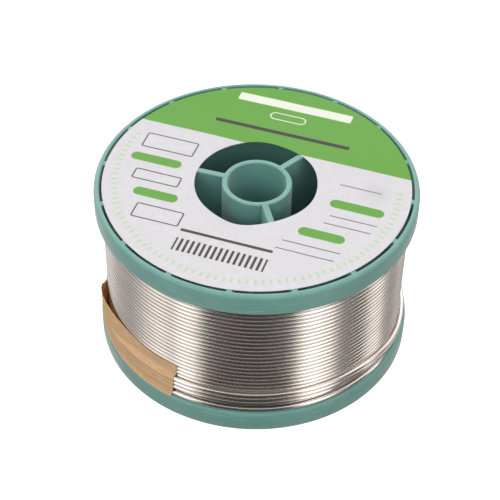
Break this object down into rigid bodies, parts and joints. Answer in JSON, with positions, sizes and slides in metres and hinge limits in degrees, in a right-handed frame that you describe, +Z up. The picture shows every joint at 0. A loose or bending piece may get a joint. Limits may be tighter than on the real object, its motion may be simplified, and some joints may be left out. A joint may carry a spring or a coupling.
{
  "type": "solder wire spool",
  "caption": "Flanged plastic wire spool with a spoked hub bore, wound with solder wire, with a disc label on top and a strip of paper tape over the wire's end.",
  "frame": {"origin": "middle of the underside, where the spool's axis meets the surface that it stands on", "axes": "+Z up along the spool's axis, towards the label; the paper tape's end faces -Y and -X"},
  "size_m": [0.063, 0.063, 0.037],
  "materials": {
    "spool_plastic": "moulded, satin",
    "label_paper": "smooth printed paper",
    "solder_layers": "drawn solder, in the shade of the outer turns",
    "solder_wire": "drawn tin-silver solder, bright",
    "kraft_paper": "uncoated kraft paper"
  },
  "bodies": {
    "root": {"lower_spool_half": "spool_plastic", "upper_spool_half": "spool_plastic", "top_label": "label_paper", "inner_wire_layers": "solder_layers", "outer_wire": "solder_wire", "paper_tape": "kraft_paper"}
  },
  "joints": []
}
